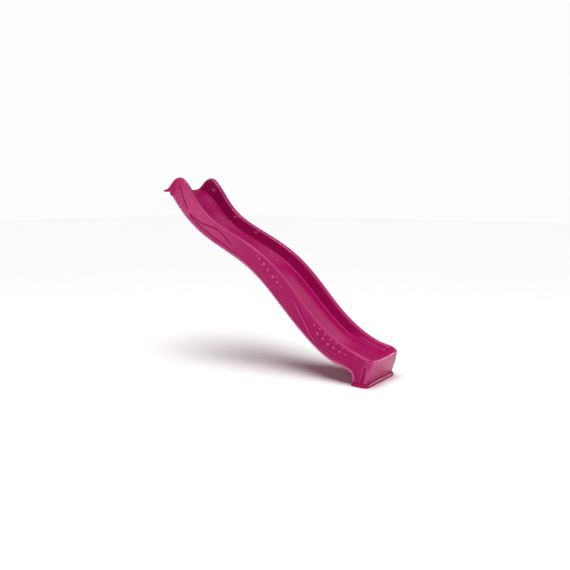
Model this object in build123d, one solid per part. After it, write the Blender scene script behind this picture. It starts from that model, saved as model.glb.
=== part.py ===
from build123d import *
import os

# Wave slide for a 1.5 m play deck: a hollow, blow-moulded polyethylene slide with two waves. A thin lip hooks
# over the deck, held by four screws under hinged covers. The other end stands on a moulded foot. Three water
# jets near the top are fed by a small manifold under the bed, which takes a garden hose.
# Millimetres. +X runs down the slide to the exit, +Z is up, Y is the width. The origin is on the ground, under
# the middle of the slide. A station is a distance along X from the lip's rear edge.

# ---- body
LENGTH = 2234.0          # plan length, lip to exit
DECK = 1500.0            # height of the deck that the lip rests on
BODY_HALF = 232.0        # half the width over the side walls
RIM_INNER_HALF = 190.0   # half the width between the rims
BED_HALF = 150.0         # half the width of the flat of the bed
SKIRT_HALF = 186.0       # half the width between the skirts underneath
BED_DEPTH = 46.0         # from the sliding surface to the underside of the bed
# each rounding is a row of steps: how far out or in, and how far up or down
RIM_ROUNDING = [(0.0, 14.0), (4.0, 4.0), (14.0, 0.0)]
INNER_ROUNDING = [(-4.0, 14.0), (0.0, 4.0), (10.0, 0.0)]
BED_ROUNDING = [(-14.0, 0.0), (-1.0, 5.0), (8.0, 18.0)]
BEAD_OUT, BEAD_HEIGHT = 11.0, 22.0      # bead of the mould seam along the lower edge

# ---- lip
LIP_THICK = 21.0
LIP_END = 94.0           # station of the face that rests against the deck's edge
STEP = 25.0              # height of that face
LIP_CORNER = 22.0

# ---- foot
FOOT_REAR, FOOT_FRONT, EXIT_TOP = 2066.0, 2158.0, 212.0
FOOT_HEIGHT = 85.0       # of the upright rear face
FLANGE_FRONT, FLANGE_HALF, FLANGE_THICK, FLANGE_CORNER = 2194.0, 247.0, 18.0, 46.0

# ---- side outlines, as (station, height)
RIM = [(0, 1522), (40, 1526), (80, 1551), (120, 1588), (160, 1618), (200, 1631), (235, 1628), (270, 1606),
       (310, 1567), (360, 1507), (410, 1441), (470, 1372), (560, 1293), (680, 1220), (870, 1130), (1070, 1035),
       (1270, 909), (1470, 732), (1670, 526), (1870, 366), (2070, 268), (2206, 230)]
BED = [(0, 1521), (60, 1521), (130, 1513), (190, 1488), (250, 1440), (310, 1383), (400, 1293), (520, 1200),
       (680, 1110), (870, 1022), (1070, 925), (1270, 791), (1470, 605), (1670, 418), (1870, 280), (2070, 213),
       (2206, 192)]
EDGE = [(132, 1455), (190, 1384), (260, 1308), (350, 1228), (520, 1111), (720, 1011), (920, 916), (1120, 790),
        (1320, 613), (1520, 421), (1720, 256), (1900, 158), (2022, 122)]

RECESS_START, RECESS_END = (112, 1472), (2040, 176)      # the ends of the space under the bed

# ---- deck screws, with hinged covers set flush in the lip
SCREW_STATION = 34.0
SCREW_OFFSETS = [-117.0, -39.0, 39.0, 117.0]
SHANK_RADIUS, NECK_RADIUS, SHANK_HOLE, SCREW_END = 3.0, 3.5, 4.5, 1450.0
HEAD_RADIUS, HEAD_HEIGHT, SOCKET_RADIUS = 6.5, 4.0, 2.6
WASHER_RADIUS, WASHER_THICK = 9.0, 1.5
POCKET_FLOOR = 1508.0
COVER_RADIUS, COVER_GAP = 17.0, 0.4
BASE_BORE, BASE_FLOOR = 13.0, 1.5
LID_THICK = 3.0
HINGE_X = SCREW_STATION - LENGTH / 2 + 13.5     # the lid's hinge line, on its downhill side
HINGE_HEIGHT = DECK + LIP_THICK - 1.5
HINGE_RADIUS, HINGE_HALF, TRUNNION_RADIUS, TRUNNION_END = 1.5, 5.0, 0.8, 7.0
EAR_THICK, EAR_Y = 2.5, 6.55

# ---- water jets
JET_POINT = 3                            # index of the bed point that the jets sit at
JET_OFFSETS = [-45.0, 0.0, 45.0]
JET_HOLE, JET_RADIUS, JET_HEAD, JET_HEAD_THICK, JET_BORE = 6.0, 5.6, 10.0, 2.5, 1.5
SEAL_THICK, SEAL_RADIUS = 2.0, 10.5
SEAL_TILT = -3.0                         # room for the curve of the bed's underside over the seals
MANIFOLD_RADIUS, MANIFOLD_BORE, MANIFOLD_HALF, MANIFOLD_DROP = 10.0, 6.0, 60.0, 16.0
COUPLING_FLANGE, COUPLING_RADIUS, COUPLING_LENGTH, COUPLING_BORE, COUPLING_STEM = 12.0, 8.0, 34.0, 4.0, 6.5


def at(station, height, y=0.0):
    """The point at a station along the slide."""
    return Vector(station - LENGTH / 2, y, height)


def across(points, i):
    """The unit direction along an outline at its point i."""
    before, after = points[max(i - 1, 0)], points[min(i + 1, len(points) - 1)]
    return Vector(after[0] - before[0], 0, after[1] - before[1]).normalized()


def shifted(points, distance):
    """An outline moved square to itself, up where distance is positive."""
    moved = []
    for i, (s, z) in enumerate(points):
        along = across(points, i)
        moved.append((s - along.Z * distance, z + along.X * distance))
    return moved


def outline(y, *runs):
    """A closed face in the plane at y. A run of two points is a line; a longer run is one smooth curve."""
    edges = []
    for run in runs:
        points = [at(s, z, y) for s, z in run]
        edges.append(Line(*points) if len(points) == 2 else Spline(*points))
    return Face(Wire(edges))


def joined(*corners):
    """The straight runs between corners, in order."""
    return [list(pair) for pair in zip(corners, corners[1:])]


def slab(face, half):
    """A face at y = 0 made into a slab, half to each side."""
    return Pos(0, -half, 0) * extrude(face, 2 * half, dir=(0, 1, 0))


def silhouette(y, drop):
    """The side view of the slide at y, from lip to foot, with its rim lowered by drop."""
    rim, under = shifted(RIM, -drop), EDGE[::-1]
    rim = [(0, rim[0][1]), *rim[1:]]
    front = joined(rim[-1], (LENGTH, EXIT_TOP - drop), (FOOT_FRONT, 0), (FOOT_REAR, 0), (FOOT_REAR, FOOT_HEIGHT),
                   EDGE[-1])
    lip = joined(EDGE[0], (LIP_END, DECK - STEP), (LIP_END, DECK), (0, DECK), rim[0])
    return outline(y, rim, *front, under, *lip)


def outside():
    """The outside of the slide, with its rims rounded."""
    half = [(BODY_HALF - inward, drop) for inward, drop in RIM_ROUNDING]
    sections = [silhouette(-y, drop) for y, drop in half] + [silhouette(y, drop) for y, drop in reversed(half)]
    return loft(sections, ruled=True)


def channel():
    """The sliding channel, open to the sky: a bed that curves up into sides, which roll over into the rims."""
    reach, sky = 60.0, 1750.0

    def above(points, y):
        first, last = (-reach, points[0][1]), (LENGTH + reach, points[-1][1] - 8.0)
        over = joined(last, (last[0], sky), (first[0], sky), first)
        return outline(y, [first, points[0]], points, [points[-1], last], *over)

    half = [(BED_HALF + outward, shifted(BED, rise)) for outward, rise in BED_ROUNDING]
    half += [(RIM_INNER_HALF + outward, shifted(RIM, -drop)) for outward, drop in INNER_ROUNDING]
    sections = [above(points, -y) for y, points in reversed(half)] + [above(points, y) for y, points in half]
    return loft(sections, ruled=True)


def recess():
    """The open space under the bed, between the skirts."""
    ceiling = [p for p in shifted(BED, -BED_DEPTH) if RECESS_START[0] + 20 < p[0] < RECESS_END[0] - 20]
    below = joined(RECESS_END, (RECESS_END[0], -60.0), (RECESS_START[0], -60.0), RECESS_START)
    return slab(outline(0, [RECESS_START, *ceiling, RECESS_END], *below), SKIRT_HALF)


def seam_bead():
    """The bead along the lower edge of both side walls."""
    band = outline(0, EDGE, *joined(EDGE[-1], shifted(EDGE, BEAD_HEIGHT)[-1]), shifted(EDGE, BEAD_HEIGHT)[::-1],
                   *joined(shifted(EDGE, BEAD_HEIGHT)[0], EDGE[0]))
    return slab(band, BODY_HALF + BEAD_OUT) - slab(band, BODY_HALF - 8)


def upright(station, y, low, high, radius):
    """An upright cylinder between two heights."""
    return Pos(station - LENGTH / 2, y, (low + high) / 2) * Cylinder(radius, high - low)


def jet_place(y):
    """The frame on the bed at a jet: its Z is square to the bed, and its X runs downhill."""
    s, z = BED[JET_POINT]
    return Plane(origin=at(s, z, y), x_dir=across(BED, JET_POINT), z_dir=across(BED, JET_POINT).cross(Vector(0, 1, 0)))


def at_jet(y, low, high, radius):
    """A cylinder square to the bed at a jet, between two heights from the sliding surface."""
    return jet_place(y) * Pos(0, 0, (low + high) / 2) * Rot(0, 0, 35) * Cylinder(radius, high - low)


def foot_flange():
    """The flat flange that the foot stands on, with round corners."""
    length = FLANGE_FRONT - FOOT_REAR
    middle = (FLANGE_FRONT + FOOT_REAR - LENGTH) / 2
    plate = extrude(Rectangle(length, 2 * FLANGE_HALF), FLANGE_THICK)
    front = plate.edges().filter_by(Axis.Z).group_by(Axis.X)[-1]
    return Pos(middle, 0, 0) * fillet(front, FLANGE_CORNER)


def make_body():
    """The slide itself, with its foot, lip and holes. The outer form only: the real moulding is hollow."""
    body = outside() - channel() - recess()
    body += seam_bead()
    body += foot_flange()
    lip = body.edges().filter_by(Axis.Z).group_by(Axis.X)[0]
    body = fillet(lip, LIP_CORNER)
    for y in SCREW_OFFSETS:
        body -= upright(SCREW_STATION, y, POCKET_FLOOR, 1600, COVER_RADIUS + COVER_GAP)
        body -= upright(SCREW_STATION, y, DECK - 5, 1600, SHANK_HOLE)
    for y in JET_OFFSETS:
        body -= at_jet(y, -90, 0, JET_HOLE) + at_jet(y, -JET_HEAD_THICK, 40, JET_HEAD + COVER_GAP)
    return body


def cover_base(y):
    """The cup round a screw's head: it is clamped by the screw, and its two ears hold the lid's hinge."""
    top = DECK + LIP_THICK - LID_THICK - COVER_GAP
    base = upright(SCREW_STATION, y, POCKET_FLOOR, top, COVER_RADIUS)
    base -= upright(SCREW_STATION, y, POCKET_FLOOR + BASE_FLOOR, top + 1, BASE_BORE)
    base -= upright(SCREW_STATION, y, POCKET_FLOOR - 1, top, SHANK_HOLE)
    ear_height = HINGE_HEIGHT + HINGE_RADIUS - top
    for side in (-1, 1):
        ear = Box(2 * HINGE_RADIUS, EAR_THICK, ear_height + 2)
        ear = Pos(HINGE_X, y + side * EAR_Y, top + ear_height / 2 - 1) * ear
        base += ear
        base -= Pos(HINGE_X, y + side * EAR_Y, HINGE_HEIGHT) * Rot(90, 0, 0) * Cylinder(TRUNNION_RADIUS + 0.1, 6)
    return base


def screw_cover(y):
    """A flush lid: a disc cut straight at its hinge side, with a barrel and two trunnions."""
    top = DECK + LIP_THICK
    disc = upright(SCREW_STATION, y, top - LID_THICK, top, COVER_RADIUS)
    disc -= Pos(HINGE_X + 15, y, top) * Box(30, 60, 30)
    barrel = Pos(HINGE_X, y, HINGE_HEIGHT) * Rot(90, 0, 0) * Cylinder(HINGE_RADIUS, 2 * HINGE_HALF)
    pins = Pos(HINGE_X, y, HINGE_HEIGHT) * Rot(90, 0, 0) * Cylinder(TRUNNION_RADIUS, 2 * TRUNNION_END)
    notch = Box(4 * HINGE_RADIUS, COVER_RADIUS, 3 * LID_THICK)
    for side in (-1, 1):
        disc -= Pos(HINGE_X, y + side * (HINGE_HALF + COVER_RADIUS / 2), top) * notch
    grip = upright(SCREW_STATION - COVER_RADIUS, y, top - 1.2, top + 1, 4.0)
    return disc - grip + barrel + pins


def deck_screw(y):
    """A pan-head screw with a hexagon socket, its shank going down into the deck."""
    seat = POCKET_FLOOR + BASE_FLOOR + WASHER_THICK
    screw = upright(SCREW_STATION, y, SCREW_END, DECK, SHANK_RADIUS)
    screw += upright(SCREW_STATION, y, DECK, seat + 0.5, NECK_RADIUS)
    screw += upright(SCREW_STATION, y, seat, seat + HEAD_HEIGHT, HEAD_RADIUS)
    socket = extrude(RegularPolygon(SOCKET_RADIUS, 6), HEAD_HEIGHT)
    screw -= Pos(SCREW_STATION - LENGTH / 2, y, seat + HEAD_HEIGHT - 2.5) * socket
    tip = screw.edges().filter_by(GeomType.CIRCLE).group_by(Axis.Z)[0]
    return chamfer(tip, 2.0)


def deck_washer(y):
    """A plain washer between the screw's head and the cup."""
    low = POCKET_FLOOR + BASE_FLOOR
    ring = upright(SCREW_STATION, y, low, low + WASHER_THICK, WASHER_RADIUS)
    return ring - upright(SCREW_STATION, y, low - 1, low + 4, NECK_RADIUS + 0.3)


def spray_jet(y):
    """A flush water jet: its head sits in the bed, and its stem passes down through the bed."""
    stem_end = -BED_DEPTH - SEAL_THICK - 8.0
    jet = at_jet(y, -JET_HEAD_THICK, -0.2, JET_HEAD)
    jet += at_jet(y, stem_end, -1, JET_RADIUS)
    return jet - at_jet(y, stem_end - 1, 5, JET_BORE)


def jet_seal(y):
    """A rubber ring between the bed's underside and the manifold."""
    ring = at_jet(y, -BED_DEPTH - SEAL_THICK + SEAL_TILT, -BED_DEPTH + SEAL_TILT, SEAL_RADIUS)
    return ring - at_jet(y, -BED_DEPTH - 9, -BED_DEPTH + 9, JET_RADIUS + 0.3)


def spray_manifold():
    """The pipe under the bed that feeds the jets, with a socket up to each jet and one down for the hose."""
    face = -BED_DEPTH - SEAL_THICK + SEAL_TILT
    axis = face - MANIFOLD_DROP
    along = Rot(90, 0, 0)
    pipe = jet_place(0) * Pos(0, 0, axis) * along * Cylinder(MANIFOLD_RADIUS, 2 * MANIFOLD_HALF)
    for y in JET_OFFSETS:
        pipe += at_jet(y, axis, face, SEAL_RADIUS)
    pipe += at_jet(0, axis - MANIFOLD_DROP, axis, SEAL_RADIUS)
    pipe -= jet_place(0) * Pos(0, 0, axis) * along * Cylinder(MANIFOLD_BORE, 2 * MANIFOLD_HALF - 8)
    for y in JET_OFFSETS:
        pipe -= at_jet(y, axis, face + 1, JET_RADIUS + 0.05)
    return pipe - at_jet(0, axis - MANIFOLD_DROP - 1, axis, COUPLING_STEM + 0.05)


def coupling_seat():
    """How far below the bed's surface the manifold's lower socket ends."""
    return -BED_DEPTH - SEAL_THICK + SEAL_TILT - 2 * MANIFOLD_DROP


def coupling_seal():
    """A flat rubber ring between the manifold and the hose coupling."""
    seat = coupling_seat()
    return at_jet(0, seat - SEAL_THICK, seat, SEAL_RADIUS) - at_jet(0, seat - 5, seat + 5, COUPLING_STEM + 0.3)


def hose_coupling():
    """The click-on nipple for a garden hose: a flange, a waisted body and a threaded stem."""
    seat = coupling_seat() - SEAL_THICK
    flange = jet_place(0) * Pos(0, 0, seat - 5) * extrude(RegularPolygon(COUPLING_FLANGE, 6), 5)
    body = at_jet(0, seat - COUPLING_LENGTH, seat - 4, COUPLING_RADIUS)
    waist = at_jet(0, seat - 16, seat - 11, COUPLING_RADIUS + 1) - at_jet(0, seat - 17, seat - 10, COUPLING_RADIUS - 2)
    stem = at_jet(0, seat - 1, seat + 8, COUPLING_STEM)
    return flange + (body - waist) + stem - at_jet(0, seat - COUPLING_LENGTH - 1, seat + 9, COUPLING_BORE)


def main():
    os.makedirs("parts", exist_ok=True)
    parts = {
        "slide_body": make_body(),
        "deck_screws": Compound([deck_screw(y) for y in SCREW_OFFSETS]),
        "deck_washers": Compound([deck_washer(y) for y in SCREW_OFFSETS]),
        "cover_bases": Compound([cover_base(y) for y in SCREW_OFFSETS]),
        "spray_jets": Compound([spray_jet(y) for y in JET_OFFSETS]),
        "jet_seals": Compound([jet_seal(y) for y in JET_OFFSETS]),
        "spray_manifold": spray_manifold(),
        "coupling_seal": coupling_seal(),
        "hose_coupling": hose_coupling(),
    }
    for i, y in enumerate(SCREW_OFFSETS):
        parts[f"screw_cover_{i + 1}"] = screw_cover(y)
    for name, shape in parts.items():
        export_step(shape, f"parts/{name}.step")


main()
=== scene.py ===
import math

import bpy
import numpy as np
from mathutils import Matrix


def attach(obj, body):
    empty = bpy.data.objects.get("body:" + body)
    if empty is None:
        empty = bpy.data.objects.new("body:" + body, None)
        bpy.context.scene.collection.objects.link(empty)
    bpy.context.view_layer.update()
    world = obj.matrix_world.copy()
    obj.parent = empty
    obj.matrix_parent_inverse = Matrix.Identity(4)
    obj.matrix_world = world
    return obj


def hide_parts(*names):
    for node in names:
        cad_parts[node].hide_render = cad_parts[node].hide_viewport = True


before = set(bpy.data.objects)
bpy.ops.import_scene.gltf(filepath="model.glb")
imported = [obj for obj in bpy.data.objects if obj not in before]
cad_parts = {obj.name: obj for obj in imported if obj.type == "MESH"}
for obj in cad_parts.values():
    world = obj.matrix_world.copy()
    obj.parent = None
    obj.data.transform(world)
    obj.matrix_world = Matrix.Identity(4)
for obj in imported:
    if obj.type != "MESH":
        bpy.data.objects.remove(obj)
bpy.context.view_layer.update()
bpy.ops.object.select_all(action="DESELECT")

# --------------------------------------------------------------------------------------------------
# SLIDE BODY. One hollow moulding of coloured polyethylene, blown in a two-part mould whose seam shows as a
# bead along the lower edges. It has a lip for the deck, a bed with two waves, side walls with round rims, and
# a foot on a flat flange.

# side outlines are in millimetres as (station, height), a station being the distance from the lip's rear edge
HALF_LENGTH = 1117.0
RIM = [(0, 1521), (40, 1525), (80, 1551), (120, 1588), (160, 1618), (200, 1630.8), (235, 1628), (270, 1606),
       (310, 1567), (360, 1507), (410, 1441), (470, 1372), (560, 1293), (680, 1220), (870, 1130),
       (1070, 1035), (1270, 909), (1470, 732), (1670, 526), (1870, 366), (2070, 268), (2160, 243),
       (2225.9, 227)]
BED = [(0, 1520.5), (60, 1520), (130, 1513), (190, 1488), (250, 1440), (310, 1383), (400, 1293), (520, 1200),
       (680, 1110), (870, 1022), (1070, 925), (1270, 791), (1470, 605), (1670, 418), (1870, 280), (2070, 213),
       (2160, 197), (2215.4, 190)]
LIP_UNDERSIDE = [(0, 1500), (93.5, 1500), (94, 1499.5), (94, 1475.5), (94.5, 1475), (132, 1455)]
EDGE = [(132, 1455), (190, 1384), (260, 1308), (350, 1228), (520, 1111), (720, 1011), (920, 916), (1120, 790),
        (1320, 613), (1520, 421), (1720, 256), (1900, 158), (2022, 122), (2042, 113)]
FOOT_REAR = [(2042, 113), (2052, 105), (2060, 94), (2065, 78), (2066, 60)]
FOOT_SOLE = [(2066, 60), (2066, 8), (2068, 4), (2074, 2), (2161.6, 2)]


def smooth_line(points, step):
    """A natural cubic spline through the points, as points a step apart."""
    p = np.array(points, float)
    t = np.concatenate([[0.0], np.cumsum(np.hypot(*np.diff(p, axis=0).T))])
    h, n = np.diff(t), len(p)
    a, r = np.eye(n), np.zeros((n, 2))
    for i in range(1, n - 1):
        a[i, i - 1:i + 2] = h[i - 1], 2 * (h[i - 1] + h[i]), h[i]
        r[i] = 6 * ((p[i + 1] - p[i]) / h[i] - (p[i] - p[i - 1]) / h[i - 1])
    m = np.linalg.solve(a, r)
    x = np.linspace(0, t[-1], int(t[-1] / step) + 1)
    i = np.clip(np.searchsorted(t, x, side="right") - 1, 0, n - 2)
    u, w, hi = (t[i + 1] - x)[:, None], (x - t[i])[:, None], h[i][:, None]
    cubic = (m[i] * u ** 3 + m[i + 1] * w ** 3) / (6 * hi)
    return cubic + (p[i] / hi - m[i] * hi / 6) * u + (p[i + 1] / hi - m[i + 1] * hi / 6) * w


def straight_line(points, step):
    """Straight runs through the points, as points no more than a step apart."""
    out = [np.array(points[0], float)]
    for a, b in zip(points, points[1:]):
        a, b = np.array(a, float), np.array(b, float)
        count = max(1, math.ceil(np.hypot(*(b - a)) / step))
        out += [a + (b - a) * k / count for k in range(1, count + 1)]
    return np.array(out)


def spaced(line, count):
    """The same line as a number of points spread evenly along it."""
    t = np.concatenate([[0.0], np.cumsum(np.hypot(*np.diff(line, axis=0).T))])
    x = np.linspace(0, t[-1], count)
    return np.stack([np.interp(x, t, line[:, 0]), np.interp(x, t, line[:, 1])], axis=1)


def crossing(origin, direction, line):
    """Where the line from origin along direction first crosses a side outline."""
    rel = line - origin
    side = rel[:, 0] * direction[1] - rel[:, 1] * direction[0]
    along = rel @ direction
    hits = np.nonzero((side[:-1] * side[1:] <= 0) & (along[:-1] > -1))[0]
    k = hits[np.argmin(np.abs(along[hits]))]
    f = side[k] / (side[k] - side[k + 1]) if side[k] != side[k + 1] else 0.0
    return line[k] + (line[k + 1] - line[k]) * f


def eased(x, low, high):
    """0 below low, 1 above high, and a smooth step between."""
    t = np.clip((x - low) / (high - low), 0, 1)
    return t * t * (3 - 2 * t)


def rolling_mean(values, reach):
    """The mean of each value and its neighbours, as many as reach on either side."""
    padded = np.pad(values, reach, mode="edge")
    return np.convolve(padded, np.ones(2 * reach + 1) / (2 * reach + 1), mode="valid")


rim, bed = smooth_line(RIM, 1.0), smooth_line(BED, 1.0)
lower = np.concatenate([straight_line(LIP_UNDERSIDE, 1.0), smooth_line(EDGE, 1.0)[1:]])

# the middle rows stand square to the bed, and the lip's rows stand upright
BED_THICKNESS = 46.0
RECESS_FADE = 6.0
ROW_SPACING = 6.9
SLOPE_SMOOTHING = 90
LAST_LIP_STATION, LAST_SQUARE_STATION = 134.0, 2061.0
slope = np.gradient(bed, axis=0)
angle = rolling_mean(np.arctan2(slope[:, 1], slope[:, 0]), SLOPE_SMOOTHING)
angle *= eased(bed[:, 0], 94, 250)
rows = [0.0, 0.8, 2.4, *np.arange(4, 90, 6.0), 92.0, 93.6, 94.4, 96.0, *np.arange(102, 132, 6.0)]
start = int(np.argmin(np.abs(bed[:, 0] - LAST_LIP_STATION)))
stop = int(np.argmin(np.abs(bed[:, 0] - LAST_SQUARE_STATION)))
rows += list(bed[np.linspace(start, stop, int((stop - start) / ROW_SPACING)).astype(int), 0])
bed_row, rim_row, low_row, roof_row, open_row = [], [], [], [], []
for s in rows:
    k = int(np.argmin(np.abs(bed[:, 0] - s)))
    b = np.array([s, bed[k, 1]])
    up = np.array([-math.sin(angle[k]), math.cos(angle[k])])
    r = crossing(b, up, rim) if s > 0 else np.array(RIM[0], float)
    e = crossing(b, -up, lower) if s > 0 else np.array(LIP_UNDERSIDE[0], float)
    deep = np.hypot(*(b - e)) - BED_THICKNESS
    bed_row.append(b)
    rim_row.append(r)
    low_row.append(e)
    roof_row.append(b - up * BED_THICKNESS)
    open_row.append(float(np.clip(deep / RECESS_FADE, 0, 1)) if s > 100 else 0.0)

# the foot's rows fan out: the rim and bed run on to the exit while the lower line goes down to the ground
FOOT_ROWS = 44
foot_rim = rim[np.argmin(np.hypot(*(rim - rim_row[-1]).T)):]
foot_bed = bed[np.argmin(np.hypot(*(bed - bed_row[-1]).T)):]
foot_low = np.concatenate([smooth_line(FOOT_REAR, 1.0), straight_line(FOOT_SOLE, 1.0)[1:]])
foot_low = np.concatenate([[low_row[-1]], foot_low[1:]])
for r, b, e in list(zip(*(spaced(line, FOOT_ROWS) for line in (foot_rim, foot_bed, foot_low))))[1:]:
    bed_row.append(b)
    rim_row.append(r)
    low_row.append(e)
    roof_row.append(e)
    open_row.append(0.0)
bed_row, rim_row, low_row, roof_row = (np.array(x) for x in (bed_row, rim_row, low_row, roof_row))

# each row is half a section, from the middle of the bed over the rim and round to the middle underneath
BED_HALF, RIM_INSIDE, RIM_CREST, RIM_OUTSIDE, SKIRT_INSIDE = 162.0, 186.0, 214.0, 229.0, 186.0
RIM_WIDTH = RIM_OUTSIDE - RIM_CREST
RIM_INNER_DEPTH, RIM_OUTER_DEPTH = 17.0, 14.0
WALL_COLUMNS = 40
RIDGE_HEIGHT, RIDGE_ROOM = 5.5, 24.0
RIDGE_SECTION = [(-17.0, 0.0), (-12.5, 0.6), (-8.5, 1.0), (-4.5, 0.6), (0.0, 0.0)]
BEAD_SECTION = [(235.0, 30.0), (234.6, 27.0), (233.0, 25.0), (232.4, 23.5), (234.0, 22.0), (238.5, 20.5),
                (241.8, 17.0), (243.0, 11.0), (241.5, 5.0), (237.0, 1.2), (228.0, 0.0), (205.0, 0.0),
                (192.0, 1.5)]
BEADLESS_HALF = 232.0
SKIRT_EDGE, ROOF_CORNER = 8.0, 10.0
FRONT_LEAN = 0.286
FRONT_NORMAL = np.array([1.0, -FRONT_LEAN]) / math.hypot(1.0, FRONT_LEAN)
FRONT_POINT = np.array([2173.5, 0.0])
CORNER_RADIUS, LOW_CORNER_RADIUS, NOSE_RADIUS = 46.0, 20.0, 12.0
LIP_CORNER_RADIUS = 22.0


def unit(v):
    """The vector's direction, one long."""
    return v / max(np.hypot(*v), 1e-9)


def between(a, b, share):
    """A share of the way from a to b, each of which is a half width and a point of the side view."""
    return a[0] + (b[0] - a[0]) * share, a[1] + (b[1] - a[1]) * share


def top_points(b, r, up, height, outer):
    """The bed with its ridge and fillet, the wall's inner face, and the rim round to its outer edge."""
    ridged = eased(b[0], 800.0, 960.0) * (1 - eased(b[0], 1760.0, 1920.0))
    soft = eased(b[0], 1760.0, 1940.0)
    fillet = min(7.0 + 21.0 * soft, 0.44 * height)
    fillet_wide = 10.0 + 34.0 * soft * min(1.0, height / 90.0)
    inner = min(RIM_INNER_DEPTH, 0.34 * height)
    flat = BED_HALF - fillet_wide
    half = [(y, b) for y in np.linspace(0, flat - RIDGE_ROOM, 6)]
    for y, share in RIDGE_SECTION:
        half.append((flat + y, b + up * share * RIDGE_HEIGHT * ridged))
    for a in np.radians(np.linspace(12, 78, 7)):
        half.append((flat + fillet_wide * math.sin(a), b + up * fillet * (1 - math.cos(a))))
    foot, head = half[-1], (RIM_INSIDE, r - up * inner)
    half += [between(foot, head, f) for f in np.linspace(0, 1, 8)[1:]]
    for a in np.radians(np.linspace(15, 90, 6)):
        half.append((RIM_CREST - (RIM_CREST - RIM_INSIDE) * math.cos(a), r - up * inner * (1 - math.sin(a))))
    for a in np.radians(np.linspace(18, 90, 6)):
        half.append((RIM_CREST + RIM_WIDTH * math.sin(a), r - up * outer * (1 - math.cos(a))))
    return half


def outer_points(head, e, inward, bead):
    """The outer wall down from the rim's outer edge, and the seam bead along its foot."""
    foot_half, foot_rise = BEAD_SECTION[0]
    bead_tall = max(bead, 0.1)
    foot = (foot_half * bead + (head[0] + 3) * (1 - bead), e + inward * foot_rise * bead_tall)
    half = [between(head, foot, f) for f in np.linspace(0, 1, WALL_COLUMNS)[1:]]
    for y, rise in BEAD_SECTION[1:]:
        plain = min(y, BEADLESS_HALF)
        half.append((plain + (y - plain) * bead, e + inward * rise * bead_tall))
    return half


def under_points(b, e, u, inward, bead, opened):
    """The skirt's inner face and the recess's roof, lying on the lower line where there is no recess."""
    down = -unit(b - u)
    low, high = e + inward * SKIRT_EDGE * max(bead, 0.1), u + down * ROOF_CORNER
    half = []
    for f, shut_half in zip(np.linspace(0, 1, 4), (180, 170, 160, 150)):
        half.append(between((shut_half, e), (SKIRT_INSIDE, low + (high - low) * f), opened))
    for open_half, drop, shut_half in ((183, 4, 140), (176, 1, 132), (165, 0, 124)):
        half.append(between((shut_half, e), (open_half, u + down * drop), opened))
    return half + [between((y, e), (y, u), opened) for y in (115, 85, 55, 28, 0)]


low_tangent = np.gradient(low_row, axis=0)
steady_tangent = np.stack([rolling_mean(part, 4) for part in low_tangent.T], axis=1)
along_wall = (low_row[:, :1] > 110) & (low_row[:, :1] < 1900)
low_tangent = np.where(along_wall, steady_tangent, low_tangent)
halves, top_profiles, up_row = [], [], []
for b, r, e, u, opened, tangent in zip(bed_row, rim_row, low_row, roof_row, open_row, low_tangent):
    height = np.hypot(*(r - b))
    up = unit(r - b) if height > 4 else np.array([0.0, 1.0])
    along = unit(tangent)
    inward = np.array([-along[1], along[0]])
    on_lip = 1 - eased(e[0], 100, 150)
    in_flange = eased(e[0], 2063.0, 2066.0) * (1 - eased(e[1], 14.0, 60.0))
    bead = (1 - on_lip) * (1 - in_flange)
    half = top_points(b, r, up, height, min(RIM_OUTER_DEPTH, 0.4 * np.hypot(*(r - e))))
    top_profiles.append([(y, (p - b) @ up) for y, p in half])
    up_row.append(up)
    wall_start = len(half) - 1
    half += outer_points(half[-1], e, inward, bead)
    half += under_points(b, e, u, inward, bead, opened)
    halves.append(half)
section = np.array([[(y, *p) for y, p in half] for half in halves])

# the lip's rear corners are rounded in plan, and each point's distance behind the front face is measured
y, s, z = section[..., 0], section[..., 1], section[..., 2]
near_lip = np.clip(LIP_CORNER_RADIUS - s, 0, LIP_CORNER_RADIUS)
pull = LIP_CORNER_RADIUS - np.sqrt(LIP_CORNER_RADIUS ** 2 - near_lip ** 2)
section[..., 0] = y * (1 - pull / BEADLESS_HALF)
from_front = (FRONT_POINT[0] - s) * FRONT_NORMAL[0] + (FRONT_POINT[1] - z) * FRONT_NORMAL[1]


def corner_pull(distance, z):
    """How far the exit's corner has come in, at a distance behind the front face. It is tighter low down."""
    radius = LOW_CORNER_RADIUS + (CORNER_RADIUS - LOW_CORNER_RADIUS) * eased(z, 110.0, 180.0)
    near = np.clip(radius - distance, 0, radius)
    return radius - np.sqrt(radius ** 2 - near ** 2)


# the exit opens out a little, and the walls turn there into a low front lip with a dip in its middle
FLARE, FRONT_LIP_HEIGHT, FRONT_LIP_HALF = 17.0, 13.0, 236.0
FLUTE_DEPTH, FLUTE_PLACE, FLUTE_WIDTH = 12.0, 38.0, 13.0
BOWL_RADIUS, BOWL_START = 110.0, 60.0
CORNER_EXTRA_WIDTH, CORNER_EXTRA_DEPTH = 18.0, 16.0
top = slice(0, wall_start + 1)
wall = slice(wall_start + 1, wall_start + WALL_COLUMNS)
profiles = np.array(top_profiles)


def widened(y, s, z):
    """The half width's growth towards the exit, which fades out low on the foot."""
    return FLARE * eased(s, 2050.0, 2200.0) * eased(z, 50.0, 185.0) * eased(y, 120.0, RIM_OUTSIDE)


def level_distance(side, front, radius):
    """How far inside a round-cornered outline a point is, from its distances to the side and to the front."""
    x, y = np.maximum(radius - side, 0), np.maximum(radius - front, 0)
    return np.where((x > 0) | (y > 0), radius - np.hypot(x, y), np.minimum(side, front))


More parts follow.
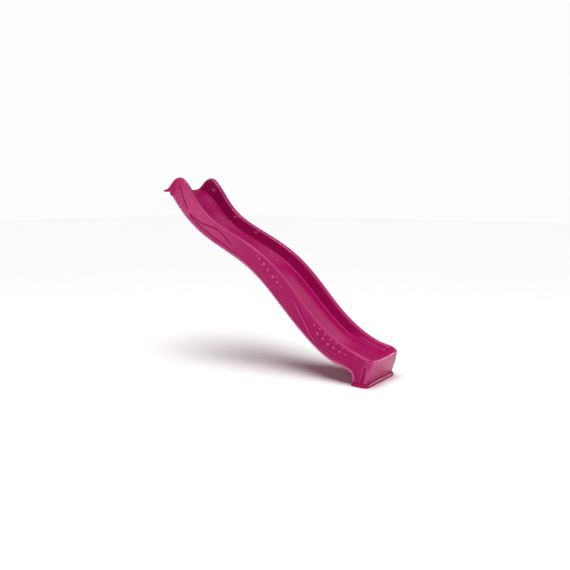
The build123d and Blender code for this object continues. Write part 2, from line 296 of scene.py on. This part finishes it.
def shape_exit(rows, profiles, ups, distance):
    """Brings the rows in at the round corners, and sets the top's height from how far inside it is."""
    y, s, z = rows[..., 0].copy(), rows[..., 1], rows[..., 2]
    flute = FLUTE_DEPTH * np.exp(-((distance - FLUTE_PLACE) / FLUTE_WIDTH) ** 2)
    flute *= eased(z, 18, 60) * (1 - eased(z, 150, 195)) * eased(y, 222.0, RIM_OUTSIDE)
    pull = (corner_pull(distance, z) + flute) * eased(s, 2040.0, 2075.0)
    rows[..., 0] = y + widened(y, s, z) - pull * eased(y, 120.0, RIM_OUTSIDE)
    edge = RIM_OUTSIDE + widened(np.float64(RIM_OUTSIDE), s[:, top], 227.0)
    side, front = np.maximum(edge - rows[:, top, 0], 0.0), np.maximum(distance[:, top], 0.0)
    tight, loose = level_distance(side, front, CORNER_RADIUS), level_distance(side, front, BOWL_RADIUS)
    mixed = np.clip(tight / BOWL_START, 0, 1)
    inside = np.maximum(tight * (1 - mixed) + loose * mixed, 0.0)
    turn = eased(side / np.maximum(side + front, 1e-6), 0.2, 0.8)
    corner = 1 - eased(np.maximum(side, front), 16.0, 70.0)
    steep = np.clip(1 - inside / (RIM_WIDTH + CORNER_EXTRA_WIDTH * corner), 0, 1)
    drop = (RIM_OUTER_DEPTH + CORNER_EXTRA_DEPTH * corner) * (1 - np.sqrt(1 - steep ** 2))
    for i in range(len(rows)):
        across, heights = profiles[i].T
        full = heights.max()
        lip_share = FRONT_LIP_HEIGHT / full
        dip = lip_share + (1 - lip_share) * (rows[i, top, 0] / FRONT_LIP_HALF) ** 2
        kept = 1 - turn[i] * (1 - dip)
        profile = np.interp(RIM_OUTSIDE - inside[i], across, heights)
        change = kept * np.where(inside[i] < RIM_WIDTH, full, profile) - drop[i] - heights
        follow = min(change[-1], 0.0) * (1 - eased(np.linspace(0, 1, WALL_COLUMNS)[1:], 0.0, 0.45))
        rows[i, top, 1:] += np.outer(change, ups[i])
        rows[i, wall, 1:] += np.outer(follow, ups[i])


square_end = section[-1].copy()
exit_rows = slice(int(np.argmax(section[:, 0, 1] > 2045.0)), len(section))
shape_exit(section[exit_rows], profiles[exit_rows], up_row[exit_rows], from_front[exit_rows])

# raised and sunk lines on both outer walls, as leaf-shaped panels
WALL_LINES = [
    (7.5, 6.5, [(222, 1556), (240, 1507), (263, 1444), (287, 1389), (318, 1335)]),
    (-7.0, 6.0, [(330, 1312), (409, 1260), (483, 1227), (556, 1206), (628, 1188), (698, 1157), (756, 1115),
                 (802, 1078), (850, 1035)]),
    (-6.5, 6.0, [(348, 1295), (421, 1229), (530, 1160), (626, 1106), (731, 1051), (835, 999), (950, 940)]),
    (7.0, 6.0, [(1498, 625), (1538, 570), (1568, 521), (1608, 460), (1647, 398), (1687, 337), (1735, 284)]),
    (-6.0, 5.5, [(1700, 300), (1780, 262), (1870, 222), (1960, 192), (2030, 176)]),
]
LINE_FADE = 12.0
for rise, width, line in WALL_LINES:
    dense = smooth_line(line, 3.0)
    flat = section[:, wall, 1:].reshape(-1, 2)
    nearest = np.full(len(flat), 1e9)
    which = np.zeros(len(flat), int)
    for k, p in enumerate(dense):
        d = np.hypot(*(flat - p).T)
        better = d < nearest
        nearest[better], which[better] = d[better], k
    fade = np.clip(np.minimum(which, len(dense) - 1 - which) / LINE_FADE, 0, 1)
    bump = rise * np.exp(-(nearest / width) ** 2) * fade
    section[:, wall, 0] += bump.reshape(section[:, wall, 0].shape)

# the lip's rounded rear edge
REAR_RADIUS, LIP_MIDDLE = 5.0, 1510.5
rear = np.clip(REAR_RADIUS - section[..., 1], 0, REAR_RADIUS)
shrink = REAR_RADIUS - np.sqrt(REAR_RADIUS ** 2 - rear ** 2)
section[..., 2] += np.where(rear > 0, np.sign(LIP_MIDDLE - section[..., 2]) * shrink, 0.0)


def whole_loop(half):
    """Half a section and its mirror image, as one closed loop of points in metres."""
    full = np.concatenate([half, half[-2:0:-1] * np.array([-1.0, 1.0, 1.0])])
    return np.stack([(full[:, 1] - HALF_LENGTH) / 1000, full[:, 0] / 1000, full[:, 2] / 1000], axis=1)


loops = [whole_loop(half) for half in section]

# the exit's nose rolls round into the leaning front face
for a in np.radians([20, 40, 58, 74, 90]):
    forward = NOSE_RADIUS * math.sin(a)
    moved = square_end.copy()
    moved[:, 1] += forward / FRONT_NORMAL[0]
    distance = np.full((1, len(moved)), NOSE_RADIUS - forward)
    row = moved[None]
    shape_exit(row, profiles[-1:], up_row[-1:], distance)
    loops.append(whole_loop(row[0]))

count = len(loops[0])
vertices = np.concatenate(loops)
faces = []
for i in range(len(loops) - 1):
    for j in range(count):
        k = (j + 1) % count
        faces.append((i * count + j, i * count + k, (i + 1) * count + k, (i + 1) * count + j))
faces.append(tuple(range(count)))
faces.append(tuple((len(loops) - 1) * count + j for j in reversed(range(count))))
mesh = bpy.data.meshes.new("slide_moulding")
mesh.from_pydata(vertices.tolist(), [], faces)
body = bpy.data.objects.new("slide_moulding", mesh)
bpy.context.collection.objects.link(body)


def only(*things):
    """Selects these objects and nothing else, with the first active."""
    bpy.ops.object.select_all(action="DESELECT")
    for thing in things:
        thing.select_set(True)
    bpy.context.view_layer.objects.active = things[0]


def bevel_edges(thing, chosen, width, segments):
    """Rounds the edges whose two ends chosen says yes to."""
    bpy.ops.object.mode_set(mode="EDIT")
    bpy.ops.mesh.select_mode(type="EDGE")
    bpy.ops.mesh.select_all(action="DESELECT")
    bpy.ops.object.mode_set(mode="OBJECT")
    for edge in thing.data.edges:
        a, b = (thing.data.vertices[k].co for k in edge.vertices)
        edge.select = chosen(a, b)
    bpy.ops.object.mode_set(mode="EDIT")
    bpy.ops.mesh.bevel(offset=width, segments=segments)
    bpy.ops.object.mode_set(mode="OBJECT")


# the flat flange that the foot stands on, with round corners at the exit and a soft upper edge
FLANGE_LOW, FLANGE_HIGH, FLANGE_HALF, FLANGE_THICK = 2064.0, 2200.0, 246.5, 26.0
FLANGE_CORNER, FLANGE_SOFTNESS = 0.044, 0.008
middle = ((FLANGE_LOW + FLANGE_HIGH - 2 * HALF_LENGTH) / 2000, 0, FLANGE_THICK / 2000)
bpy.ops.mesh.primitive_cube_add(size=1, location=middle)
flange = bpy.context.object
flange.scale = ((FLANGE_HIGH - FLANGE_LOW) / 1000, 2 * FLANGE_HALF / 1000, FLANGE_THICK / 1000)
bpy.ops.object.transform_apply(location=True, rotation=True, scale=True)
bevel_edges(flange, lambda a, b: abs(a.z - b.z) > 0.01 and a.x > 1.0, FLANGE_CORNER, 14)
bevel_edges(flange, lambda a, b: min(a.z, b.z) > FLANGE_THICK / 1000 - 0.0005, FLANGE_SOFTNESS, 5)

# round bubbles stand out of both walls, in a line below the middle wave and scattered near the foot
BUBBLES = [(1120, 962, 6), (1150, 940, 11), (1176, 892, 6), (1200, 898, 12), (1238, 852, 12), (1266, 800, 7),
           (1290, 798, 13), (1338, 752, 12), (1376, 716, 8), (1330, 800, 7),
           (1706, 440, 9), (1736, 372, 12), (1760, 414, 8), (1790, 340, 11), (1812, 376, 9), (1838, 300, 12),
           (1862, 340, 9), (1890, 278, 11), (1914, 312, 8), (1944, 252, 10), (1972, 284, 7), (2000, 240, 8),
           (300, 1500, 8), (326, 1470, 6), (346, 1448, 8), (372, 1420, 6), (400, 1392, 7)]
BUBBLE_SEAT, BUBBLE_FLATNESS = 0.2305, 0.75
domes = []
for s, z, radius in BUBBLES:
    for side in (-1, 1):
        spot = ((s - HALF_LENGTH) / 1000, side * BUBBLE_SEAT, z / 1000)
        bpy.ops.mesh.primitive_uv_sphere_add(segments=20, ring_count=10, radius=radius / 1000, location=spot)
        dome = bpy.context.object
        dome.scale = (1, BUBBLE_FLATNESS, 1)
        bpy.ops.object.transform_apply(location=True, rotation=True, scale=True)
        domes.append(dome)

# fans of three short strokes, like drops thrown up, high on the inner faces of both walls
SPLASHES = [(275, 1500), (546, 1248), (798, 1110)]
STROKE_REACH, STROKE_HALF, STROKE_SHAPE = 0.022, 0.018, (1, 0.3, 0.32)
bpy.context.view_layer.update()
for s, z in SPLASHES:
    for side in (-1, 1):
        for turn in (50, 95, 140):
            lean = math.radians(turn)
            x = (s - HALF_LENGTH) / 1000 + STROKE_REACH * math.cos(lean)
            height = z / 1000 + STROKE_REACH * math.sin(lean)
            spot = body.ray_cast((x, 0, height), (0, side, 0))[1]
            bpy.ops.mesh.primitive_uv_sphere_add(segments=16, ring_count=8, radius=STROKE_HALF,
                                                 location=spot, rotation=(0, -lean, 0))
            stroke = bpy.context.object
            stroke.scale = STROKE_SHAPE
            bpy.ops.object.transform_apply(location=True, rotation=True, scale=True)
            domes.append(stroke)
only(flange, *domes)
bpy.ops.object.join()
added = bpy.context.object


def cut(target, tool):
    """Cuts the tool's shape out of the target, and removes the tool."""
    only(target)
    modifier = target.modifiers.new("cut", "BOOLEAN")
    modifier.operation, modifier.object, modifier.solver = "DIFFERENCE", tool, "EXACT"
    bpy.ops.object.modifier_apply(modifier=modifier.name)
    bpy.data.objects.remove(tool)


def face_outwards(thing):
    """Merges doubles and turns every face outwards."""
    only(thing)
    bpy.ops.object.mode_set(mode="EDIT")
    bpy.ops.mesh.select_all(action="SELECT")
    bpy.ops.mesh.remove_doubles(threshold=1e-6)
    bpy.ops.mesh.normals_make_consistent(inside=False)
    bpy.ops.object.mode_set(mode="OBJECT")


face_outwards(body)
face_outwards(added)

# pockets for the screw covers, with screw holes, and seats for the water jets, with holes through the bed
SCREW_STATION, SCREW_OFFSETS = 34.0, (-0.117, -0.039, 0.039, 0.117)
POCKET_RADIUS, POCKET_FLOOR, SCREW_HOLE = 0.0174, 1.508, 0.0045
JET_CENTRE, JET_OFFSETS = (-0.927, 1.488), (-0.045, 0.0, 0.045)
JET_TILT = math.atan2(0.5197, 0.8543)
JET_SEAT_RADIUS, JET_SEAT_DEPTH, JET_HOLE = 0.0104, 0.0025, 0.006


def drill(place, radius, low, high, tilt=0.0):
    """A cutting cylinder from low to high along an axis through place, leaning downhill by tilt."""
    middle, lean = (low + high) / 2, (math.sin(tilt), 0.0, math.cos(tilt))
    centre = [p + middle * d for p, d in zip(place, lean)]
    bpy.ops.mesh.primitive_cylinder_add(vertices=64, radius=radius, depth=high - low, location=centre,
                                        rotation=(0, tilt, 0))
    bpy.ops.object.transform_apply(location=True, rotation=True, scale=True)
    return bpy.context.object


seats, holes = [], []
for y in SCREW_OFFSETS:
    place = ((SCREW_STATION - HALF_LENGTH) / 1000, y, POCKET_FLOOR)
    holes.append(drill(place, SCREW_HOLE, -0.03, 0.03))
    seats.append(drill(place, POCKET_RADIUS, 0.0, 0.03))
for y in JET_OFFSETS:
    place = (JET_CENTRE[0], y, JET_CENTRE[1])
    holes.append(drill(place, JET_HOLE, -0.075, 0.015, JET_TILT))
    seats.append(drill(place, JET_SEAT_RADIUS, -JET_SEAT_DEPTH, 0.015, JET_TILT))
for drills in (holes, seats):
    only(*drills)
    bpy.ops.object.join()
    cut(body, bpy.context.object)
only(body, added)
bpy.ops.object.join()
bpy.ops.object.shade_smooth_by_angle(angle=math.radians(38))


def colour(code):
    """An sRGB hex code as linear light."""
    parts = [int(code[i:i + 2], 16) / 255 for i in (0, 2, 4)]
    return (*[c / 12.92 if c <= 0.04045 else ((c + 0.055) / 1.055) ** 2.4 for c in parts], 1.0)


def add(tree, kind, links=None, **settings):
    """A node with its settings, and its inputs' values or links."""
    node = tree.nodes.new(kind)
    for key, value in settings.items():
        setattr(node, key, value)
    for key, value in (links or {}).items():
        socket = node.inputs[key]
        if isinstance(value, bpy.types.NodeSocket):
            tree.links.new(value, socket)
        else:
            socket.default_value = value
    return node


def new_material(name):
    """An empty material by this name, and its node tree."""
    material = bpy.data.materials.new(name)
    material.use_nodes = True
    material.node_tree.nodes.clear()
    return material, material.node_tree


# blow-moulded polyethylene, coloured through, from a blasted mould: satin and a little waxy, with a painted
# highlight on the convex crests and painted shade in the concave hollows. Its grain of about half
# a millimetre is drawn three times as coarse, so that it shows.
skin, tree = new_material("moulded_polyethylene_magenta")
place = add(tree, "ShaderNodeTexCoord").outputs["Object"]
cloud = add(tree, "ShaderNodeTexNoise", {"Vector": place, "Scale": 9.0, "Detail": 3.0}).outputs["Fac"]
grain = add(tree, "ShaderNodeTexNoise", {"Vector": place, "Scale": 620.0, "Detail": 2.0}).outputs["Fac"]
curvature = add(tree, "ShaderNodeNewGeometry").outputs["Pointiness"]
tint = add(tree, "ShaderNodeMix", {0: cloud, 6: colour("9C0850"), 7: colour("A80A5A")}, data_type="RGBA")
# painted shade: concave hollows, found by pointiness, are darkened towards 5E0430
hollow_shade = add(tree, "ShaderNodeMapRange", {"Value": curvature, "From Min": 0.495, "From Max": 0.46,
                                          "To Min": 0.0, "To Max": 0.5}).outputs["Result"]
tint_with_painted_shade = add(tree, "ShaderNodeMix", {0: hollow_shade, 6: tint.outputs[2], 7: colour("5E0430")}, data_type="RGBA")
# painted highlight: convex crests, found by pointiness, are lightened towards DC6CA8 on rims, ridges and
# bubbles
crest_highlight = add(tree, "ShaderNodeMapRange", {"Value": curvature, "From Min": 0.504, "From Max": 0.54,
                                         "To Min": 0.0, "To Max": 0.55}).outputs["Result"]
# the curvature isn't true between the screw pockets, so the painted crest highlight is left off there, and
# off the flange
spot = add(tree, "ShaderNodeSeparateXYZ", {"Vector": place}).outputs
across = add(tree, "ShaderNodeMath", {0: spot["Y"]}, operation="ABSOLUTE").outputs["Value"]
beside = add(tree, "ShaderNodeMapRange", {"Value": across, "From Min": 0.14, "From Max": 0.15})
downhill = add(tree, "ShaderNodeMapRange", {"Value": spot["X"], "From Min": -0.85, "From Max": -0.8})
above = add(tree, "ShaderNodeMapRange", {"Value": spot["Z"], "From Min": 0.025, "From Max": 0.035})
clear = add(tree, "ShaderNodeMath", {0: beside.outputs["Result"], 1: downhill.outputs["Result"]},
            operation="MAXIMUM")
highlight_zone = add(tree, "ShaderNodeMath", {0: clear.outputs["Value"], 1: above.outputs["Result"]},
               operation="MULTIPLY")
painted_highlight_mask = add(tree, "ShaderNodeMath", {0: crest_highlight, 1: highlight_zone.outputs["Value"]}, operation="MULTIPLY")
# mixes the painted highlight colour DC6CA8 over the tint with painted shade, on crests where the mask allows
tint_with_painted_light = add(tree, "ShaderNodeMix", {0: painted_highlight_mask.outputs["Value"], 6: tint_with_painted_shade.outputs[2], 7: colour("DC6CA8")},
           data_type="RGBA")
rough = add(tree, "ShaderNodeMapRange", {"Value": grain, "To Min": 0.2, "To Max": 0.3})
bump = add(tree, "ShaderNodeBump", {"Height": grain, "Strength": 0.1, "Distance": 0.0006})
surface = add(tree, "ShaderNodeBsdfPrincipled", {
    "Base Color": tint_with_painted_light.outputs[2], "Roughness": rough.outputs["Result"], "Normal": bump.outputs["Normal"],
    "IOR": 1.5, "Specular IOR Level": 0.36, "Specular Tint": colour("FF96C8")})
add(tree, "ShaderNodeOutputMaterial", {"Surface": surface.outputs["BSDF"]})
body.data.materials.clear()
body.data.materials.append(skin)
body.name = "slide_moulding"
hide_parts("slide_body")
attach(body, "slide")

# --------------------------------------------------------------------------------------------------
# SCREW COVERS. Each deck screw sits in a moulded cup with a flush lid on a snap-in hinge. Cup and lid are
# injection-moulded polypropylene, coloured to match the slide, with softened edges.


def softened(node, width, name):
    """A copy of a node's shape, facets merged and sharp edges rounded, which stands for the node."""
    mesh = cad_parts[node].data.copy()
    piece = bpy.data.objects.new(name, mesh)
    bpy.context.collection.objects.link(piece)
    only(piece)
    bpy.ops.object.mode_set(mode="EDIT")
    bpy.ops.mesh.select_all(action="SELECT")
    bpy.ops.mesh.remove_doubles(threshold=1e-5)
    bpy.ops.mesh.dissolve_limited(angle_limit=math.radians(2))
    bpy.ops.object.mode_set(mode="OBJECT")
    rounding = piece.modifiers.new("rounding", "BEVEL")
    rounding.width, rounding.segments, rounding.limit_method = width, 2, "ANGLE"
    rounding.angle_limit = math.radians(35)
    bpy.ops.object.modifier_apply(modifier=rounding.name)
    bpy.ops.object.shade_smooth_by_angle(angle=math.radians(40))
    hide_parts(node)
    return piece


def finished(piece, body, material):
    """Gives a piece its material and slot, and makes it move with its body."""
    piece.data.materials.clear()
    piece.data.materials.append(material)
    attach(piece, body)


# injection-moulded polypropylene from a spark-eroded tool: a tighter, duller grain than the slide's, drawn
# about twice as coarse as the real one so that it shows
cover_skin, tree = new_material("moulded_polypropylene_magenta")
place = add(tree, "ShaderNodeTexCoord").outputs["Object"]
cloud = add(tree, "ShaderNodeTexNoise", {"Vector": place, "Scale": 60.0, "Detail": 3.0}).outputs["Fac"]
grain = add(tree, "ShaderNodeTexNoise", {"Vector": place, "Scale": 1400.0, "Detail": 2.0}).outputs["Fac"]
tint = add(tree, "ShaderNodeMix", {0: cloud, 6: colour("8E0A4C"), 7: colour("9C0C54")}, data_type="RGBA")
rough = add(tree, "ShaderNodeMapRange", {"Value": grain, "To Min": 0.28, "To Max": 0.4})
bump = add(tree, "ShaderNodeBump", {"Height": grain, "Strength": 0.15, "Distance": 0.0002})
surface = add(tree, "ShaderNodeBsdfPrincipled", {
    "Base Color": tint.outputs[2], "Roughness": rough.outputs["Result"], "Normal": bump.outputs["Normal"],
    "IOR": 1.49, "Specular IOR Level": 0.36, "Specular Tint": colour("FF96C8")})
add(tree, "ShaderNodeOutputMaterial", {"Surface": surface.outputs["BSDF"]})
for number in (1, 2, 3, 4):
    lid = softened(f"screw_cover_{number}", 0.0006, f"screw_lid_{number}")
    finished(lid, f"lid_{number}", cover_skin)
finished(softened("cover_bases", 0.0004, "screw_cups"), "slide", cover_skin)

# --------------------------------------------------------------------------------------------------
# DECK SCREWS AND WASHERS. Zinc-plated steel: four pan-head wood screws with a hexagon socket, each on a plain
# washer, pass through the lip into the deck. The heads are turned and the washers stamped.

# bright zinc plating: a silvery blue-white metal with faint cloudy passivation and fine turning marks
zinc, tree = new_material("zinc_plated_steel")
place = add(tree, "ShaderNodeTexCoord").outputs["Object"]
cloud = add(tree, "ShaderNodeTexNoise", {"Vector": place, "Scale": 220.0, "Detail": 4.0}).outputs["Fac"]
marks = add(tree, "ShaderNodeTexNoise", {"Vector": place, "Scale": 3000.0, "Detail": 1.0}).outputs["Fac"]
tint = add(tree, "ShaderNodeMix", {0: cloud, 6: colour("B9BDC2"), 7: colour("D5D3C8")}, data_type="RGBA")
rough = add(tree, "ShaderNodeMapRange", {"Value": cloud, "To Min": 0.24, "To Max": 0.42})
bump = add(tree, "ShaderNodeBump", {"Height": marks, "Strength": 0.1, "Distance": 0.0001})
surface = add(tree, "ShaderNodeBsdfPrincipled", {
    "Base Color": tint.outputs[2], "Roughness": rough.outputs["Result"], "Normal": bump.outputs["Normal"],
    "Metallic": 1.0})
add(tree, "ShaderNodeOutputMaterial", {"Surface": surface.outputs["BSDF"]})
finished(softened("deck_screws", 0.0007, "pan_head_screws"), "slide", zinc)
finished(softened("deck_washers", 0.0002, "plain_washers"), "slide", zinc)

# --------------------------------------------------------------------------------------------------
# WATER JETS, MANIFOLD AND SEALS. Three flush jets wet the bed from a pipe clipped under it. Jets and pipe are
# injection-moulded black polyamide, and rubber rings are squeezed between them and the bed.

# glass-filled polyamide: near black, satin, with a faint flow mottle
polyamide, tree = new_material("black_polyamide")
place = add(tree, "ShaderNodeTexCoord").outputs["Object"]
flow = add(tree, "ShaderNodeTexNoise", {"Vector": place, "Scale": 90.0, "Detail": 4.0, "Distortion": 1.2})
grain = add(tree, "ShaderNodeTexNoise", {"Vector": place, "Scale": 1500.0})
tint = add(tree, "ShaderNodeMix", {0: flow.outputs["Fac"], 6: colour("17181A"), 7: colour("222325")},
           data_type="RGBA")
rough = add(tree, "ShaderNodeMapRange", {"Value": flow.outputs["Fac"], "To Min": 0.36, "To Max": 0.5})
bump = add(tree, "ShaderNodeBump", {"Height": grain.outputs["Fac"], "Strength": 0.12, "Distance": 0.0002})
surface = add(tree, "ShaderNodeBsdfPrincipled", {
    "Base Color": tint.outputs[2], "Roughness": rough.outputs["Result"], "Normal": bump.outputs["Normal"],
    "IOR": 1.53})
add(tree, "ShaderNodeOutputMaterial", {"Surface": surface.outputs["BSDF"]})
finished(softened("spray_jets", 0.0004, "flush_jets"), "slide", polyamide)
finished(softened("spray_manifold", 0.0012, "manifold_pipe"), "slide", polyamide)

# moulded nitrile rubber: dead matt, with a dusty bloom in patches
rubber, tree = new_material("nitrile_rubber")
place = add(tree, "ShaderNodeTexCoord").outputs["Object"]
bloom = add(tree, "ShaderNodeTexNoise", {"Vector": place, "Scale": 260.0, "Detail": 5.0}).outputs["Fac"]
tint = add(tree, "ShaderNodeMix", {0: bloom, 6: colour("121212"), 7: colour("2A2A29")}, data_type="RGBA")
rough = add(tree, "ShaderNodeMapRange", {"Value": bloom, "To Min": 0.72, "To Max": 0.9})
surface = add(tree, "ShaderNodeBsdfPrincipled", {
    "Base Color": tint.outputs[2], "Roughness": rough.outputs["Result"], "IOR": 1.52})
add(tree, "ShaderNodeOutputMaterial", {"Surface": surface.outputs["BSDF"]})
finished(softened("jet_seals", 0.0004, "jet_sealing_rings"), "slide", rubber)
finished(softened("coupling_seal", 0.0004, "coupling_sealing_ring"), "slide", rubber)

# --------------------------------------------------------------------------------------------------
# HOSE COUPLING. The nipple that a garden hose clicks on to, in orange acetal as such fittings are. It has a
# hexagon flange for a spanner and a waist that the hose's catch grips, and screws up into the pipe.

# injection-moulded acetal: a slick, slightly waxy orange
acetal, tree = new_material("orange_acetal")
place = add(tree, "ShaderNodeTexCoord").outputs["Object"]
cloud = add(tree, "ShaderNodeTexNoise", {"Vector": place, "Scale": 120.0, "Detail": 3.0}).outputs["Fac"]
tint = add(tree, "ShaderNodeMix", {0: cloud, 6: colour("D9761C"), 7: colour("E4832A")}, data_type="RGBA")
rough = add(tree, "ShaderNodeMapRange", {"Value": cloud, "To Min": 0.26, "To Max": 0.36})
surface = add(tree, "ShaderNodeBsdfPrincipled", {
    "Base Color": tint.outputs[2], "Roughness": rough.outputs["Result"], "IOR": 1.48})
add(tree, "ShaderNodeOutputMaterial", {"Surface": surface.outputs["BSDF"]})
finished(softened("hose_coupling", 0.0006, "hose_nipple"), "slide", acetal)

# --------------------------------------------------------------------------------------------------
# STUDIO. A plain pale floor and backdrop under soft light from above and from the front, with panels that
# show only as reflections.

bpy.ops.mesh.primitive_plane_add(size=60)
floor = bpy.context.object
floor.name = "studio_floor"
paper, tree = new_material("studio_paper")
place = add(tree, "ShaderNodeTexCoord").outputs["Object"]
fleck = add(tree, "ShaderNodeTexNoise", {"Vector": place, "Scale": 3.0}).outputs["Fac"]
tone = add(tree, "ShaderNodeMix", {0: fleck, 6: colour("F8F8F8"), 7: colour("FBFBFB")}, data_type="RGBA")
surface = add(tree, "ShaderNodeBsdfPrincipled", {"Base Color": tone.outputs[2], "Roughness": 0.9})
add(tree, "ShaderNodeOutputMaterial", {"Surface": surface.outputs["BSDF"]})
floor.data.materials.append(paper)

# the camera sees a pale backdrop, and the pieces a dim sky
world = bpy.data.worlds.new("soft_sky")
world.use_nodes = True
tree = world.node_tree
tree.nodes.clear()
seen = add(tree, "ShaderNodeLightPath").outputs["Is Camera Ray"]
dim = add(tree, "ShaderNodeBackground", {"Color": colour("FFFFFF"), "Strength": 0.1})
pale = add(tree, "ShaderNodeBackground", {"Color": colour("FDFDFD"), "Strength": 1.0})
either = add(tree, "ShaderNodeMixShader", {0: seen, 1: dim.outputs[0], 2: pale.outputs[0]})
add(tree, "ShaderNodeOutputWorld", {"Surface": either.outputs[0]})
bpy.context.scene.world = world


def lamp(name, kind, place, aim, power, **settings):
    """A light at place, facing aim."""
    light = bpy.data.lights.new(name, kind)
    light.energy = power
    for key, value in settings.items():
        setattr(light, key, value)
    thing = bpy.data.objects.new(name, light)
    thing.location = place
    back = [a - b for a, b in zip(place, aim)]
    thing.rotation_euler = (math.atan2(math.hypot(back[0], back[1]), back[2]), 0,
                            math.atan2(back[1], back[0]) + math.pi / 2)
    bpy.context.collection.objects.link(thing)
    return thing


# three lights give the colour without a reflection, and four panels give the reflections and nothing else
for name, kind, place, aim, power, settings in (
    ("broad_sun", "SUN", (-0.3, -0.2, 5.0), (0.0, 0.0, 0.0), 3.1, {"angle": math.radians(50)}),
    ("front_fill", "AREA", (-2.6, -4.2, 0.5), (0.0, 0.0, 0.9), 85, {"size": 1.6}),
    ("exit_fill", "AREA", (3.6, -0.6, 0.7), (1.1, 0.0, 0.1), 30, {"size": 1.2}),
):
    lamp(name, kind, place, aim, power, **settings).visible_glossy = False
for name, place, aim, power, size in (
    ("glint_panel", (-0.3, -1.6, 4.2), (0.0, 0.0, 0.8), 85, 0.9),
    ("front_panel", (-3.2, -3.2, 1.4), (-0.7, 0.0, 1.3), 17, 1.0),
    ("back_panel", (0.9, 3.6, 3.0), (0.3, 0.0, 0.6), 5, 1.4),
    ("lip_panel", (3.5, 4.1, 1.4), (1.1, 0.0, 0.2), 120, 1.3),
):
    lamp(name, "AREA", place, aim, power, size=size).visible_diffuse = False

# the camera stands off the exit on the near side, a little below the deck's height, and looks slightly down
camera = bpy.data.cameras.new("camera")
camera.lens, camera.sensor_width = 38.98, 36.0
camera.clip_end = 100.0
eye = bpy.data.objects.new("camera", camera)
eye.location = (3.2547, -4.2987, 1.4781)
eye.rotation_euler = (math.radians(90 - 8.37), 0, math.radians(36))
bpy.context.collection.objects.link(eye)
bpy.context.scene.camera = eye
bpy.context.scene.view_settings.view_transform = "Standard"
